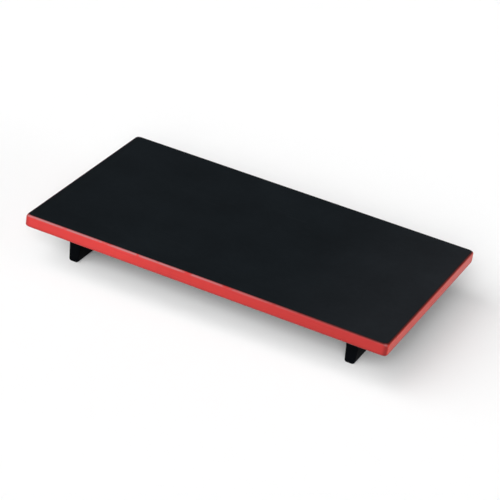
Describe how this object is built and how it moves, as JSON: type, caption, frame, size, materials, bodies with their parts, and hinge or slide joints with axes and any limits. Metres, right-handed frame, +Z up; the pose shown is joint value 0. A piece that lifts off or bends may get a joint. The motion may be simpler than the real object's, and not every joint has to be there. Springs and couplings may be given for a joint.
{
  "type": "sushi plate",
  "caption": "Flat rectangular black serving board with a rounded red edge band, raised on low tapered feet dowelled to its underside, for serving sushi at table.",
  "frame": {"origin": "on the table, under the middle of the plate", "axes": "+X along the long edge, to the right seen from the front; +Y from the front to the back; +Z up"},
  "size_m": [0.27, 0.16, 0.035],
  "materials": {
    "black_sheet": "satin black laminate",
    "red_band": "semi-gloss red edging",
    "core": "raw wood-fibre board",
    "black_foot": "matt black lacquer",
    "dowel": "raw beech"
  },
  "bodies": {
    "root": {"top_sheet": "black_sheet", "underside_sheet": "black_sheet", "edge_band": "red_band", "core_panel": "core", "foot_left": "black_foot", "foot_right": "black_foot", "dowel_left_front": "dowel", "dowel_left_middle": "dowel", "dowel_left_back": "dowel", "dowel_right_front": "dowel", "dowel_right_middle": "dowel", "dowel_right_back": "dowel"}
  },
  "joints": []
}
